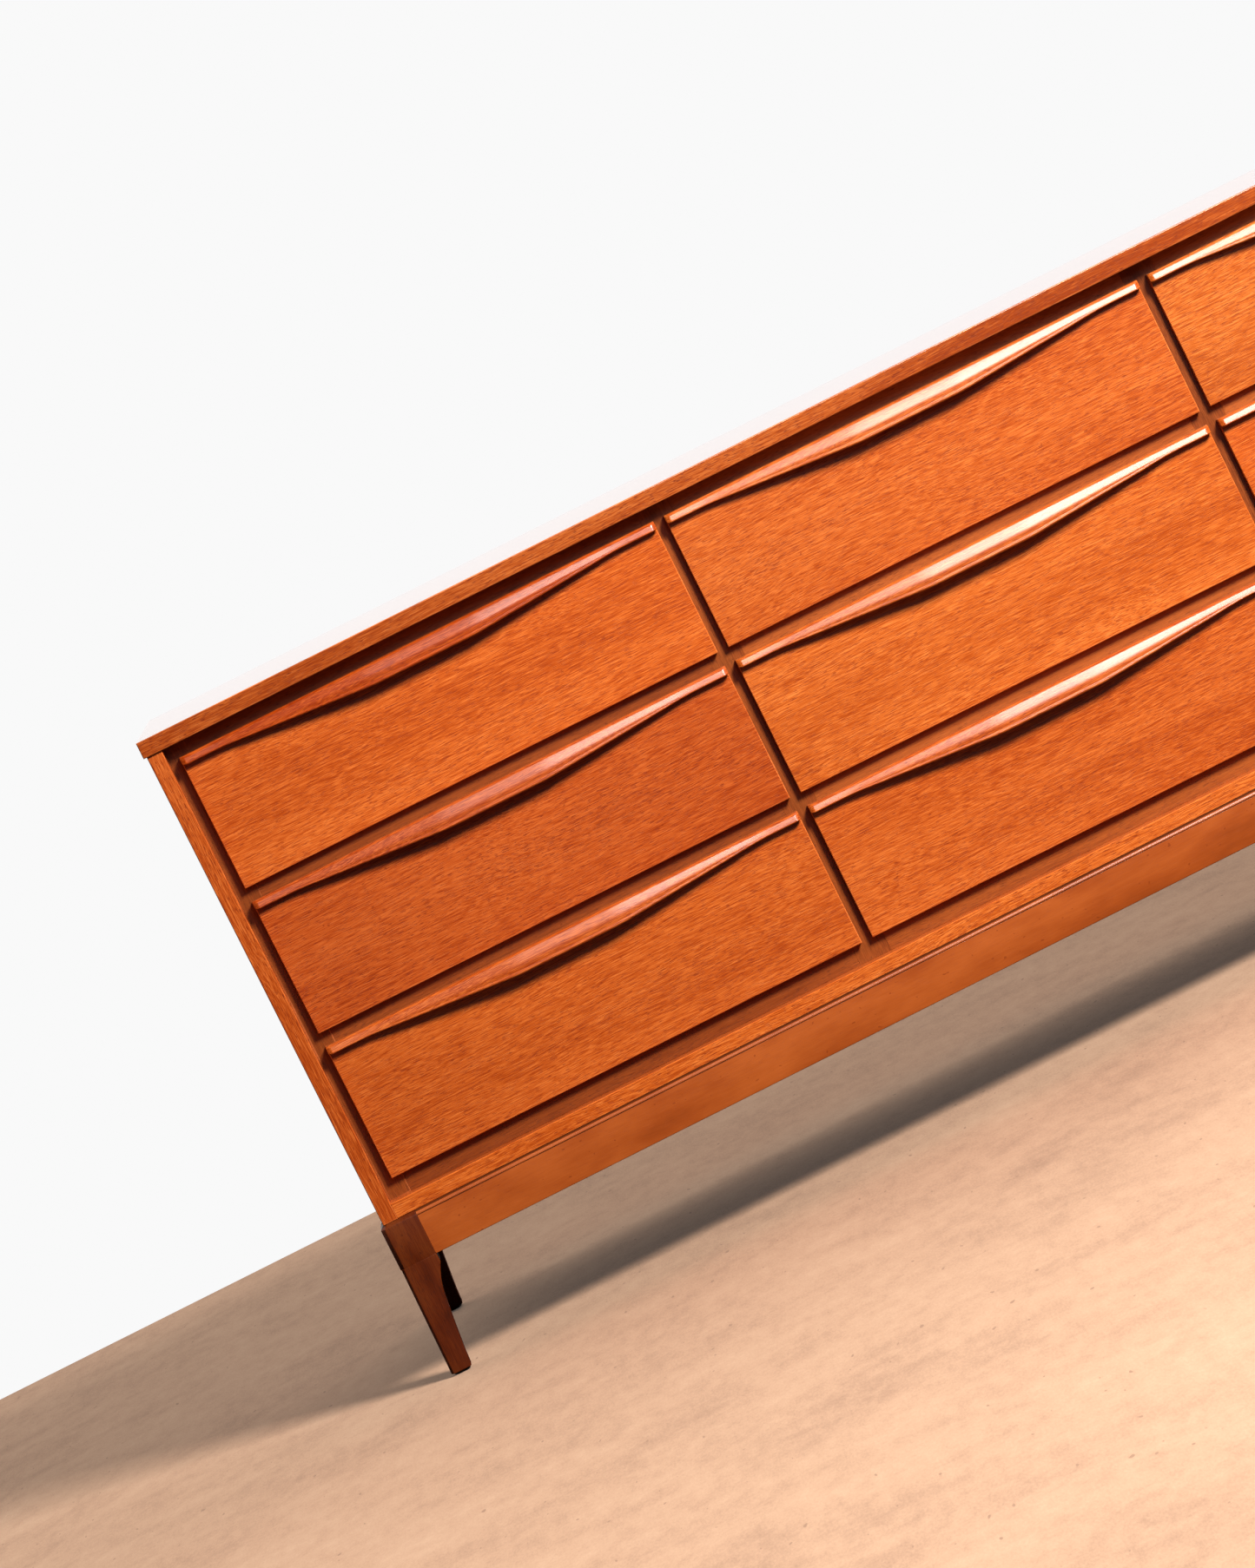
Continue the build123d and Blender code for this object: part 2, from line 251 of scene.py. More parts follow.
# Linear colours from the darkest streak to the palest, then how strong each feature is.
WALNUT = {
    "colours": (
        (0.38, 0.047, 0.0010), (0.52, 0.083, 0.0055), (0.62, 0.117, 0.0125), (0.78, 0.188, 0.031),
    ),
    "pore_colour": (0.27, 0.030, 0.0004),
    "bands": 0.55, "rings": 0.20, "ring_count": 9.0, "streaks": 0.24, "hairs": 1.9, "pores": 0.70,
    "blotches": 0.0, "wear_and_highlight_amount": 1.0, "roughness": 0.40, "specular": 0.12,
    "coat": 1.0, "coat_roughness": 0.17, "relief": 0.05 * MM,
}
UNCOATED = {**WALNUT, "hairs": 0.6, "specular": 0.3, "coat": 0.0, "coat_roughness": 0.3}
LOOKS = {
    "front_veneer": WALNUT,
    "pull_wood": {
        **WALNUT,
        "bands": 0.6, "rings": 0.15, "streaks": 0.8, "coat_roughness": 0.23, "relief": 0.07 * MM,
    },
    "dull_pull_wood": {
        **WALNUT,
        "bands": 0.6, "streaks": 0.8, "coat": 0.6, "coat_roughness": 0.14, "relief": 0.10 * MM,
    },
    "top_veneer": {
        **WALNUT,
        "bands": 1.1, "rings": 0.5, "streaks": 1.1, "pores": 1.0, "coat_roughness": 0.03,
    },
    "case_veneer": {
        **WALNUT,
        "rings": 0.3, "streaks": 0.6, "pores": 0.9, "wear_and_highlight_amount": 0.3,
    },
    "frame_wood": {
        **WALNUT,
        "colours": (
            (0.18, 0.035, 0.0034), (0.25, 0.052, 0.0062), (0.31, 0.071, 0.0100), (0.40, 0.101, 0.017),
        ),
        "pore_colour": (0.10, 0.015, 0.001),
        "bands": 0.8, "rings": 0.0, "streaks": 0.5, "hairs": 0.8, "pores": 0.5,
        "roughness": 0.5, "coat": 0.15,
    },
    "base_wood": {
        **WALNUT,
        "colours": (
            (0.25, 0.042, 0.0045), (0.35, 0.064, 0.0080), (0.42, 0.086, 0.0125), (0.52, 0.118, 0.021),
        ),
        "pore_colour": (0.18, 0.025, 0.003),
        "bands": 1.0, "rings": 0.12, "streaks": 0.2, "hairs": 0.2, "pores": 0.10, "blotches": 0.8,
        "coat": 0.6, "relief": 0.03 * MM,
    },
    "leg_wood": {
        **WALNUT,
        "colours": (
            (0.050, 0.0060, 0.0004), (0.085, 0.0110, 0.0009), (0.110, 0.0160, 0.0016), (0.15, 0.028, 0.0040),
        ),
        "pore_colour": (0.035, 0.004, 0.0003),
        "bands": 0.9, "rings": 0.0, "streaks": 0.5, "hairs": 0.5, "pores": 0.4, "blotches": 1.4,
        "roughness": 0.5, "specular": 0.10, "coat": 0.1, "relief": 0.03 * MM,
    },
    "inner_wood": {
        **UNCOATED,
        "colours": ((0.30, 0.17, 0.075), (0.42, 0.26, 0.125), (0.50, 0.33, 0.17), (0.60, 0.42, 0.24)),
        "pore_colour": (0.20, 0.11, 0.05),
        "bands": 0.8, "rings": 0.5, "ring_count": 11.0, "streaks": 0.6, "pores": 0.6,
        "roughness": 0.55, "relief": 0.12 * MM,
    },
    "plywood": {
        **UNCOATED,
        "colours": ((0.24, 0.13, 0.06), (0.34, 0.20, 0.10), (0.40, 0.25, 0.13), (0.48, 0.32, 0.18)),
        "pore_colour": (0.15, 0.08, 0.035),
        "bands": 0.9, "rings": 0.8, "ring_count": 14.0, "streaks": 0.4, "pores": 0.4,
        "roughness": 0.62, "relief": 0.10 * MM,
    },
}
WHITE = (1.0, 1.0, 1.0)


def grain_point(shader, name, point, grain, cells, cross_grain):
    """The point as seen by the grain: along, across and through it, from a start of the wood's own."""
    moved = point
    if cells:
        size, start = cells
        lattice = shader.vector("DIVIDE", shader.vector("SUBTRACT", point, start), size)
        moved = shader.vector("MULTIPLY_ADD", shader.vector("FLOOR", lattice), CELL_SHIFT, point)
    parts = shader.split(moved)
    along = shader.join(*(parts[index] for index in GRAIN[grain]))
    if cross_grain:
        front, back = cross_grain
        depth = shader.split(point)[1]
        outside = shader.math("LESS_THAN", depth, front)
        outside = shader.math("ADD", outside, shader.math("GREATER_THAN", depth, back))
        turned = shader.join(*(parts[index] for index in GRAIN["X"]))
        along = shader.choose(outside, along, turned)
    chance = random.Random(name)
    seed = [chance.uniform(-SEED_REACH, SEED_REACH) for _ in range(3)]
    return shader.vector("ADD", along, seed)


def grain_flow(shader, along):
    """The grain's point with its lines bent, in long sways and short ripples."""
    sway = shader.noise(along, FINENESS["sway"], 2.0)
    ripple = shader.noise(along, FINENESS["ripple"], 1.0)
    flow = shader.vector("MULTIPLY_ADD", sway, SWAY_REACH, along)
    return shader.vector("MULTIPLY_ADD", ripple, RIPPLE_REACH, flow)


def grain_paleness(shader, look, along, flow, streaks):
    """How pale the wood is, from 0 in its darkest streaks to 1."""
    bands = shader.noise(flow, FINENESS["bands"], 2.0, 0.45)
    field = shader.noise(flow, FINENESS["rings"], 1.0, 0.4)
    rings = shader.math("SINE", shader.math("MULTIPLY", field, look["ring_count"] * 2 * math.pi))
    rings = shader.math("POWER", shader.math("MULTIPLY_ADD", rings, 0.5, 0.5), 3.0)
    hairs = shader.noise(flow, FINENESS["hairs"], 2.0, 0.6)
    value = shader.vary(0.5, bands, look["bands"] * GAINS["bands"])
    value = shader.math("MULTIPLY_ADD", rings, look["rings"] * GAINS["rings"], value)
    value = shader.vary(value, streaks, look["streaks"] * GAINS["streaks"])
    value = shader.vary(value, hairs, look["hairs"] * GAINS["hairs"])
    if look["blotches"]:
        blotches = shader.noise(along, FINENESS["blotches"], 3.0, 0.6)
        value = shader.vary(value, blotches, look["blotches"] * GAINS["blotches"])
    return value


def grain_pores(shader, flow):
    """1 in the open pores, which are more and longer in some zones."""
    zone = shader.noise(flow, FINENESS["pore_zones"], 2.0)
    threshold = shader.math("MULTIPLY_ADD", zone, PORE_ZONE_SPAN, PORE_START)
    full = shader.math("ADD", threshold, PORE_BLUR)
    return shader.between(shader.noise(flow, FINENESS["pores"], 0.0), threshold, full)


def edge_distance(shader, place, box):
    """How far a point on a box-shaped board is from the board's nearest edge."""
    low, high = box
    gaps = []
    for value, near, far in zip(shader.split(place), low, high):
        from_near = shader.math("SUBTRACT", value, near)
        gaps.append(shader.math("MINIMUM", from_near, shader.math("SUBTRACT", far, value)))
    smaller = shader.math("MINIMUM", gaps[0], gaps[1])
    larger = shader.math("MAXIMUM", gaps[0], gaps[1])
    return shader.math("MAXIMUM", smaller, shader.math("MINIMUM", larger, gaps[2]))


def edge_wear_and_highlight(shader, look, point, box, streaks):
    """How worn a box-shaped board's finish is, with a painted highlight on its edges: in patches along them,
    and 0 elsewhere.
    """
    near = shader.vary(edge_distance(shader, point, box), streaks, WEAR_AND_HIGHLIGHT_WANDER)
    at_edge = shader.math("SUBTRACT", 1.0, shader.between(near, 0.0, WORN_AND_HIGHLIGHT_EDGE))
    patches = shader.between(shader.noise(point, FINENESS["wear_and_highlight"], 3.0), 0.42, 0.62)
    wear_and_highlight = shader.math("MULTIPLY_ADD", patches, WEAR_AND_HIGHLIGHT_MORE * look["wear_and_highlight_amount"], WEAR_AND_HIGHLIGHT_LEAST * look["wear_and_highlight_amount"])
    return shader.math("MULTIPLY", wear_and_highlight, at_edge)


def groove_painted_shade(shader, point, streaks, level, half_width):
    """1 along a level line where a seam falls dark and shade is painted, 0 away from it."""
    away = shader.math("ABSOLUTE", shader.math("SUBTRACT", shader.split(point)[2], level))
    away = shader.math("MULTIPLY_ADD", streaks, GROOVE_SHADE_WANDER, away)
    return shader.between(away, half_width + GROOVE_SHADE_FADE, half_width)


def wood(name, look_name, grain="X", tint=WHITE, box=None, cells=None, cross_grain=None, left_painted_shade=None,
         shaded_grooves=()):
    """A lacquered or bare wood.
    box is the board's box, whose edges get wear and a painted highlight.
    cells is (size, start) of the lattice that tells a node's boards apart.
    cross_grain is the two Y limits outside which the grain runs along X instead.
    A shade painted towards the left, away from the light, is given as the X where it starts, the X where it is
    full, and its darkening tint.
    The shaded grooves are (height, half width) for each level line where shade is painted."""
    look = LOOKS[look_name]
    shader = Shader(name)
    point = shader.place()
    along = grain_point(shader, name, point, grain, cells, cross_grain)
    flow = grain_flow(shader, along)
    streaks = shader.noise(flow, FINENESS["streaks"], 2.0, 0.6)
    pores = grain_pores(shader, flow)

    paleness = grain_paleness(shader, look, along, flow, streaks)
    colour = shader.ramp(paleness, tuple(zip(COLOUR_STOPS, look["colours"])))
    colour = shader.mix(shader.math("MULTIPLY", pores, look["pores"]), colour, look["pore_colour"])
    specks = shader.between(shader.noise(along, FINENESS["specks"], 0.0), SPECK_START, SPECK_FULL)
    colour = shader.mix(shader.math("MULTIPLY", specks, SPECK_STRENGTH), colour, look["pore_colour"])
    if tint != WHITE:
        colour = shader.mix(1.0, colour, tint, "MULTIPLY")
    # Painted shade, darker towards the left, away from the light.
    if left_painted_shade:
        start, end, shade_there = left_painted_shade
        leftward = shader.between(shader.split(point)[0], start, end)
        colour = shader.mix(leftward, colour, shade_there, "MULTIPLY")
    # Painted shade in the seam and the quirk, which fall dark.
    for level, half_width in shaded_grooves:
        groove_shade = groove_painted_shade(shader, point, streaks, level, half_width)
        colour = shader.mix(shader.math("MULTIPLY", groove_shade, GROOVE_SHADE_STRENGTH), colour, GROOVE_SHADE_COLOUR)

    rough = shader.math("MULTIPLY_ADD", streaks, GRAIN_ROUGHNESS, look["roughness"] - GRAIN_ROUGHNESS / 2)
    rough = shader.math("MULTIPLY_ADD", pores, GRAIN_ROUGHNESS, rough)
    # Pale edges: real wear of the finish and a painted highlight on the arrises.
    if box:
        wear_and_highlight = edge_wear_and_highlight(shader, look, point, box, streaks)
        worn_and_highlight_colour = [min(1.0, channel * WORN_AND_HIGHLIGHT_GAIN + WORN_AND_HIGHLIGHT_LIFT) for channel in look["colours"][-1]]
        colour = shader.mix(wear_and_highlight, colour, worn_and_highlight_colour)
        rough = shader.math("MULTIPLY_ADD", wear_and_highlight, WEAR_ROUGHNESS, rough)

    height = shader.math("MULTIPLY_ADD", pores, -1.0, shader.math("MULTIPLY", streaks, STREAK_HEIGHT))
    shader.bump(height, look["relief"])
    shader.set(Base_Color=colour, Roughness=rough, Specular_IOR_Level=look["specular"])
    shader.set(Coat_Weight=look["coat"], Coat_Roughness=look["coat_roughness"])
    return shader.material


# Other materials

PLASTIC_COLOURS = ((0.3, (0.010, 0.008, 0.007)), (0.6, (0.022, 0.018, 0.015)), (0.8, (0.07, 0.06, 0.05)))
STEEL_COLOURS = ((0.3, (0.20, 0.17, 0.13)), (0.55, (0.42, 0.40, 0.36)), (0.8, (0.55, 0.54, 0.50)))


def dark_plastic(name):
    """Scuffed dark nylon for the glides."""
    shader = Shader(name)
    scuffs = shader.noise(shader.place(), (420.0, 420.0, 160.0), 4.0, 0.7)
    shader.bump(scuffs, 0.15 * MM)
    rough = shader.math("MULTIPLY_ADD", scuffs, 0.4, 0.3)
    shader.set(Base_Color=shader.ramp(scuffs, PLASTIC_COLOURS), Roughness=rough)
    return shader.material


def screw_steel(name):
    """Dull zinc-plated steel."""
    shader = Shader(name)
    stain = shader.noise(shader.place(), (300.0, 300.0, 300.0), 4.0, 0.65)
    shader.bump(stain, 0.05 * MM)
    rough = shader.math("MULTIPLY_ADD", stain, 0.3, 0.2)
    shader.set(Base_Color=shader.ramp(stain, STEEL_COLOURS), Roughness=rough, Metallic=1.0)
    return shader.material


# CAD boards

FINE_EDGE = 0.35 * MM
BOX_EDGE = 0.6 * MM         # drawer boxes
BOX_WALL = 12.05 * MM       # a drawer box's front and back walls, inside which the sides' grain runs


def dress(name, material):
    """Give a CAD node its material."""
    slots = nodes[name].data.materials
    slots.clear()
    slots.append(material)


def soften(name, width):
    """Round a CAD board's edges with modifiers, so that its own mesh stays as it is."""
    piece = nodes[name]
    piece.modifiers.new("weld", "WELD").merge_threshold = 0.01 * MM
    bevel = piece.modifiers.new("eased_edges", "BEVEL")
    bevel.width = width
    bevel.segments = 2
    bevel.angle_limit = math.radians(25)


# Meshes

CORNER_STEPS = 4


def rounded_outline(corners):
    """A closed outline through (point, radius) corners, each rounded by a short curve."""
    outline = []
    count = len(corners)
    for index, (point, radius) in enumerate(corners):
        point = Vector(point)
        before = Vector(corners[index - 1][0]) - point
        after = Vector(corners[(index + 1) % count][0]) - point
        if radius <= 0:
            outline.append(point)
            continue
        start = point + before.normalized() * min(radius, 0.45 * before.length)
        end = point + after.normalized() * min(radius, 0.45 * after.length)
        for step in range(CORNER_STEPS + 1):
            share = step / CORNER_STEPS
            bend = start * (1 - share) ** 2 + point * 2 * share * (1 - share) + end * share**2
            outline.append(bend)
    return outline


def add_loft(mesh, rings):
    """Skin closed rings of equally many points, and cap both ends."""
    made = [[mesh.verts.new(point) for point in ring] for ring in rings]
    count = len(made[0])
    for ring, following in zip(made, made[1:]):
        for index in range(count):
            after = (index + 1) % count
            mesh.faces.new((ring[index], ring[after], following[after], following[index]))
    mesh.faces.new(made[0])
    mesh.faces.new(made[-1])


def finish_piece(name, mesh, material, body, replaced, smooth_angle=32):
    """Turn a bmesh into a piece that rides on its body and stands for its CAD nodes.
    Edges sharper than smooth_angle, in degrees, stay sharp."""
    bmesh.ops.recalc_face_normals(mesh, faces=mesh.faces)
    data = bpy.data.meshes.new(name)
    mesh.to_mesh(data)
    mesh.free()
    data.shade_smooth()
    data.set_sharp_from_angle(angle=math.radians(smooth_angle))
    data.materials.append(material)
    piece = bpy.data.objects.new(name, data)
    bpy.context.scene.collection.objects.link(piece)
    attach(piece, body)
    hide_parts(*replaced)


# Pulls

# Cross-section as ((out, down), corner radius) in millimetres, at the ends and at the middle:
# a narrow top bevel, the upper face that leans back, a shallow hollow, a beaded lip and a finger cove.
PULL_END = (
    ((0.0, 0.0), 0), ((5.6, 0.0), 0.4), ((7.7, 2.7), 0.3), ((8.9, 7.3), 1.2), ((9.05, 8.0), 0.3),
    ((9.35, 8.5), 0.3), ((9.3, 9.4), 0.4), ((8.5, 10.0), 0.4), ((7.0, 10.0), 0.4), ((3.5, 9.0), 1.0),
    ((0.0, 9.0), 0),
)
PULL_MIDDLE = (
    ((0.0, 0.0), 0), ((13.2, 0.0), 0.5), ((15.4, 2.2), 0.5), ((18.8, 14.0), 4.0), ((18.6, 19.7), 0.9),
    ((19.7, 20.8), 0.6), ((19.6, 22.4), 0.9), ((18.2, 23.5), 0.8), ((15.5, 23.5), 0.8), ((8.0, 13.0), 3.0),
    ((0.0, 13.0), 0),
)

# Distances from the pull's middle: where it is full, where its long slope ends and where it is thin.
PULL_FLAT_HALF = 62.0
PULL_SLOPE_END = 215.0
PULL_BLEND_END = 252.0
PULL_SLOPE_SHARE = 0.148    # its fullness at the end of the slope
PULL_SOFTENING = 9.0        # each way, over which the change of slope is spread
PULL_STEP = 6.0             # between cross-sections

# The last millimetres of each end are rounded off: less out from the front, less deep, and a little lower.
PULL_TIP = 5.0
PULL_TIP_STATIONS = (0.0, 0.5, 1.2, 2.2, 3.5, 4.6, PULL_TIP, PULL_TIP + 0.5)
TIP_LESS_OUT = (0.12, 0.22)
TIP_LESS_DEEP = 0.12
TIP_LOWERED = 0.35


def pull_fullness(distance):
    """0 at the pull's thin ends, 1 along its deep middle."""
    distance = abs(distance)
    if distance <= PULL_FLAT_HALF:
        return 1.0
    if distance <= PULL_SLOPE_END:
        share = (distance - PULL_FLAT_HALF) / (PULL_SLOPE_END - PULL_FLAT_HALF)
        return 1 - share * (1 - PULL_SLOPE_SHARE)
    share = min(1.0, (distance - PULL_SLOPE_END) / (PULL_BLEND_END - PULL_SLOPE_END))
    return PULL_SLOPE_SHARE * (1 - share) ** 2


def soft_fullness(distance):
    """The same, with its corners spread out as by sanding."""
    offsets = [PULL_SOFTENING * step / 4 for step in range(-4, 5)]
    return sum(pull_fullness(distance + offset) for offset in offsets) / len(offsets)


def pull_stations(half_length):
    """Where along the pull its cross-sections stand, closer together at both ends."""
    ends = PULL_TIP_STATIONS[:-1]
    inner = half_length - PULL_TIP_STATIONS[-1]
    count = round(2 * inner / PULL_STEP)
    left = [-half_length + gap for gap in ends]
    middle = [-inner + 2 * inner * step / count for step in range(count + 1)]
    right = [half_length - gap for gap in reversed(ends)]
    return left + middle + right


def pull_ring(centre, face_y, top_z, distance, half_length):
    """The pull's cross-section at one distance from its middle, as points in metres."""
    fullness = soft_fullness(distance)
    corners = []
    for ((end_out, end_down), end_radius), ((mid_out, mid_down), mid_radius) in zip(PULL_END, PULL_MIDDLE):
        out = end_out + (mid_out - end_out) * fullness
        down = end_down + (mid_down - end_down) * fullness
        corners.append(((out, down), end_radius + (mid_radius - end_radius) * fullness))
    tip = max(0.0, 1 - (half_length - abs(distance)) / PULL_TIP)
    out_scale = 1 - TIP_LESS_OUT[0] * tip - TIP_LESS_OUT[1] * tip**2
    down_scale = 1 - TIP_LESS_DEEP * tip**3
    lowered = TIP_LOWERED * tip**4
    ring = []
    for out, down in rounded_outline(corners):
        z = top_z - (down * down_scale + lowered) * MM
        ring.append(Vector((centre + distance * MM, face_y - out * out_scale * MM, z)))
    return ring


def add_pulls(materials):
    """The nine lip pulls, each along the top of its drawer's front."""
    for place in PLACES:
        low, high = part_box(f"drawer_front_{place}")
        centre = (low.x + high.x) / 2
        half = (high.x - low.x) / 2 / MM
        mesh = bmesh.new()
        add_loft(mesh, [pull_ring(centre, low.y, high.z, distance, half) for distance in pull_stations(half)])
        name = f"pull_{place}"
        replaced = [f"drawer_pull_{place}"]
        finish_piece(name, mesh, materials[place], f"drawer_{place}", replaced, 24)


# Legs

# Millimetres.
LEG_INNER = ((23.0, 3.0), (23.8, 19.0), (27.0, 50.0), (30.2, 78.0))     # width and height, up the taper
KNEE_HANDLES = ((31.8, 97.0), (38.6, 111.0))        # of the curve from the taper to the knee's top
KNEE_TOP = (43.5, 121.0)
KNEE_STEPS = 12
LEG_STEP = 0.8              # how far the leg stands in from the block above it
LEG_SPLAY = 1.5             # past the block's outer end, at the foot
LEG_FACE_STEP = 0.1         # share of the step that shows on the front
BLOCK_CHAMFER = 4.6         # outer corner of the block
LOWER_CHAMFER = 2.8         # outer corner of the leg under it
TOP_CHAMFER = 4.4           # height of the bevel round the block's top
BEVEL_ROUNDING = 0.6
CORNER_ROUNDING = 1.6

# Height and how much thinner the foot is there, round its worn bottom edge.
FOOT_LEVELS = ((3.0, 0.9), (3.3, 0.3), (4.2, 0.0))
# Rise from the block's underside, share of LEG_STEP, and corner bevel.
BLOCK_LEVELS = (
    (-0.5, 1.0, LOWER_CHAMFER), (0.0, 0.7, LOWER_CHAMFER),
    (0.2, 0.2, BLOCK_CHAMFER), (0.8, 0.0, BLOCK_CHAMFER),
)
# Share of TOP_CHAMFER that is climbed, and how far in the sides are there.
TOP_LEVELS = ((-0.12, 0.0), (0.0, 0.12), (0.12, 0.6), (0.88, 3.9), (0.97, 4.4), (1.0, 4.9))


def leg_outline(end, face, inner, chamfer):
    """A leg's section as inward distances from its block's outer corner, which is bevelled.
    end and face are how far in the two outer sides stand."""
    corners = (
        ((end + chamfer, face), BEVEL_ROUNDING),
        ((inner, face), CORNER_ROUNDING),
        ((inner, inner), CORNER_ROUNDING),
        ((end, inner), CORNER_ROUNDING),
        ((end, face + chamfer), BEVEL_ROUNDING),
    )
    return rounded_outline(corners)


def knee_point(share):
    """Width and height on the knee's curve, share of the way up."""
    start = Vector(LEG_INNER[-1])
    low_handle, high_handle = (Vector(handle) for handle in KNEE_HANDLES)
    end = Vector(KNEE_TOP)
    rest = 1 - share
    lower = start * rest**3 + low_handle * 3 * rest**2 * share
    return lower + high_handle * 3 * rest * share**2 + end * share**3


def leg_levels(base_z, top_z):
    """(height, outer offset, inner width, corner bevel) for each level of a leg, going up."""
    foot_width = LEG_INNER[0][0]
    levels = []
    for height, thinner in FOOT_LEVELS:
        levels.append((height, LEG_STEP + thinner, foot_width - thinner, LOWER_CHAMFER))
    for width, height in LEG_INNER[1:]:
        levels.append((height, LEG_STEP, width, LOWER_CHAMFER))
    for step in range(1, KNEE_STEPS + 1):
        point = knee_point(step / KNEE_STEPS)
        levels.append((point.y, LEG_STEP, point.x, LOWER_CHAMFER))
    width = KNEE_TOP[0]
    for rise, share, chamfer in BLOCK_LEVELS:
        levels.append((base_z + rise, LEG_STEP * share, width, chamfer))
    for share, outer in TOP_LEVELS:
        levels.append((top_z - TOP_CHAMFER * (1 - share), outer, width, BLOCK_CHAMFER))
    return levels


def add_legs(materials):
    """The four tapered legs, each with a square block at its top."""
    base_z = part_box("apron_front")[0].z / MM
    for end, y_sign in (("front", -1), ("back", 1)):
        for side, x_sign in (("left", -1), ("right", 1)):
            name = f"leg_{end}_{side}"
            low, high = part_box(name)
            corner = Vector((high.x if x_sign > 0 else low.x, high.y if y_sign > 0 else low.y))
            corner.x -= x_sign * LEG_SPLAY * MM     # from the splayed foot's side to the block's
            rings = []
            for height, outer, inner, chamfer in leg_levels(base_z, high.z / MM):
                splayed = max(0.0, (base_z - height) / base_z) * (LEG_SPLAY + LEG_STEP)
                face = outer if height > base_z else outer * LEG_FACE_STEP
                ring = leg_outline(outer - splayed, face, inner, chamfer)
                rings.append([
                    Vector((corner.x - x_sign * across * MM, corner.y - y_sign * deep * MM, height * MM))
                    for across, deep in ring
                ])
            mesh = bmesh.new()
            add_loft(mesh, rings)
            finish_piece(f"{name}_shaped", mesh, materials[name], "case", [name], 30)


# Aprons

# The front face's outline as (in from the face, down from the top): a rounded top edge that ends in a fine
# quirk, and an eased bottom edge.
APRON_PROFILE = (
    ((20.0, 0.0), 0), ((3.4, 0.0), 0.5), ((0.9, 2.2), 2.0), ((0.15, 5.2), 0.5), ((0.75, 5.8), 0.1),
    ((0.0, 6.4), 0.1), ((0.0, 53.0), 1.0), ((20.0, 53.0), 1.0),
)
# How far down, and half how wide: the seam under the case and the quirk, where shade is painted because both
# fall dark.
APRON_SHADED_GROOVES = ((0.0, 1.7), (5.8, 0.5))


def apron_rings(start, end, inward, top_z):
    """Both end sections of an apron whose outer face runs from start to end."""
    rings = []
    for spot in (start, end):
        ring = []
        for deep, down in rounded_outline(APRON_PROFILE):
            x = spot.x + inward.x * deep * MM
            y = spot.y + inward.y * deep * MM
            ring.append(Vector((x, y, top_z - down * MM)))
        rings.append(ring)
    return rings


def add_aprons(materials):
    """The front apron and the two side aprons, with their shaped top edges."""
    low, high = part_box("apron_front")
    mesh = bmesh.new()
    add_loft(mesh, apron_rings(Vector((low.x, low.y)), Vector((high.x, low.y)), Vector((0, 1)), high.z))
    finish_piece("front_apron_shaped", mesh, materials["apron_front"], "case", ["apron_front"])
    low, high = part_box("aprons_side")
    mesh = bmesh.new()
    for x, inward in ((low.x, 1), (high.x, -1)):
        add_loft(mesh, apron_rings(Vector((x, low.y)), Vector((x, high.y)), Vector((inward, 0)), high.z))
    finish_piece("side_aprons_shaped", mesh, materials["aprons_side"], "case", ["aprons_side"])


# Glides

# Radius and height in millimetres, from the sole round the rim to the top.
GLIDE_PROFILE = ((5.0, 0.35), (7.2, 0.0), (8.8, 0.15), (9.7, 0.7), (10.0, 1.4), (10.0, 3.0))
GLIDE_SIDES = 40


def add_glides(material):
    """The nail-on glides under the feet, turned with a rounded rim."""
    low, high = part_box("foot_glides")
    radius = GLIDE_PROFILE[-1][0] * MM
    mesh = bmesh.new()
    for x in (low.x + radius, high.x - radius):
        for y in (low.y + radius, high.y - radius):
            rings = []
            for out, height in GLIDE_PROFILE:
                ring = []
                for side in range(GLIDE_SIDES):
                    angle = 2 * math.pi * side / GLIDE_SIDES
                    across = out * MM * math.cos(angle)
                    deep = out * MM * math.sin(angle)
                    ring.append(Vector((x + across, y + deep, height * MM)))
                rings.append(ring)
            add_loft(mesh, rings)
    finish_piece("foot_glides_turned", mesh, material, "case", ["foot_glides"], 40)


# Stage

FLOOR_HALF = 16.0
WALL_Y = 1.41
WALL_HEIGHT = 7.0
WALL_GLOW = 0.947       # as it is seen
WALL_BOUNCE = 1.50      # as it lights the floor and the dresser
WALL_SHEEN = 1.04       # as the dresser's top mirrors it
FLOOR_FILL = (0.060, 0.052, 0.046)      # the room's light on the floor, seen in its shadows too
FLOOR_BOUNCE = 0.12     # share of the floor's colour that the dresser gets back
FLOOR_COLOURS = (
    (0.2, (0.315, 0.185, 0.120)), (0.5, (0.460, 0.280, 0.180)), (0.75, (0.525, 0.335, 0.220)),
)

AIM = (0, -0.24, 0.45)      # the middle of the dresser's front, where the lamps point
KEY_PLACE = (1.95, -3.3, 3.07)
KEY_SIZE = (1.0, 1.15)
KEY_POWER = 440.0
KEY_COLOUR = (1.0, 0.97, 0.93)

# A card of upright strips in front, side by side, which glints on the pulls.
CARD_START = -0.85      # X of its first strip's middle
CARD_Y = -4.7
CARD_WIDTH = 0.5        # of each strip
CARD_TOP = 3.5
CARD_COLOUR = (1.0, 0.88, 0.79)
# Power and height of each strip, from the left.
CARD_STRIPS = ((3.0, 0.7), (6.0, 1.0), (28.0, 1.2), (62.0, 1.4), (80.0, 1.4))

ROOM_COLOUR = (1.0, 0.99, 0.98)
ROOM_LIGHT = 0.03


def add_sheet(name, corners, material):
    """A flat stage sheet from its four corners."""
    mesh = bmesh.new()
    mesh.faces.new([mesh.verts.new(corner) for corner in corners])
    data = bpy.data.meshes.new(name)
    mesh.to_mesh(data)
    mesh.free()
    data.materials.append(material)
    sheet = bpy.data.objects.new(name, data)
    bpy.context.scene.collection.objects.link(sheet)


